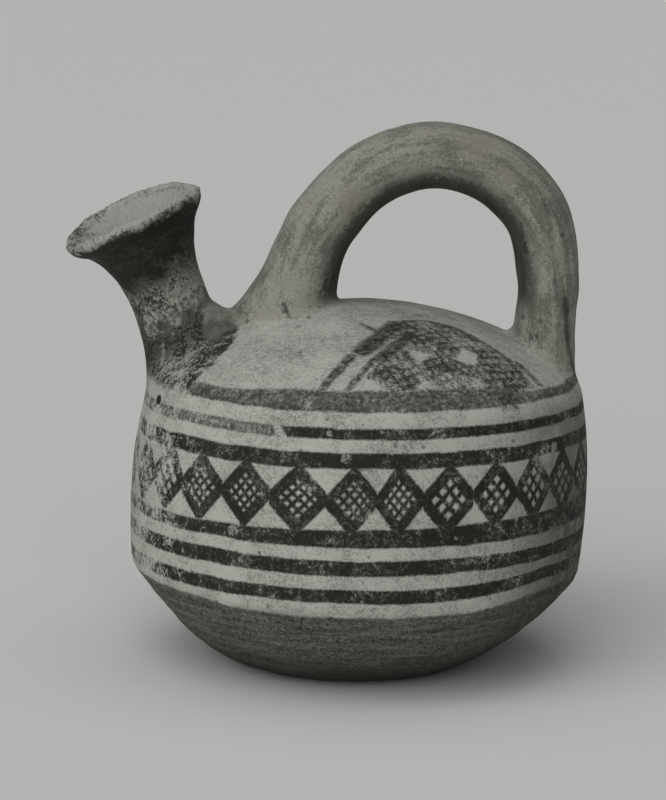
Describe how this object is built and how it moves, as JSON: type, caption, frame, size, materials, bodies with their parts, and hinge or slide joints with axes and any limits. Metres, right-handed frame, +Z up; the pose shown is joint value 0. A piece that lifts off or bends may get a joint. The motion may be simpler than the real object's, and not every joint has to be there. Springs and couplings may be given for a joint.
{
  "type": "spouted jug",
  "caption": "Squat hollow pottery jug with a closed domed top, a basket handle over it and a trumpet-mouthed spout at the shoulder, painted with bands and hatched lozenges.",
  "frame": {"origin": "middle of the flat underside that the jug stands on", "axes": "+Z up, the spout points to -X, the basket handle stands in the XZ plane, and -Y is the side that the picture shows"},
  "size_m": [0.172, 0.1504, 0.1778],
  "materials": {
    "fired_clay": "matt buff clay with a pale slip and worn brown-black painted bands"
  },
  "bodies": {
    "root": {"body": "fired_clay", "spout": "fired_clay", "handle": "fired_clay"}
  },
  "joints": []
}
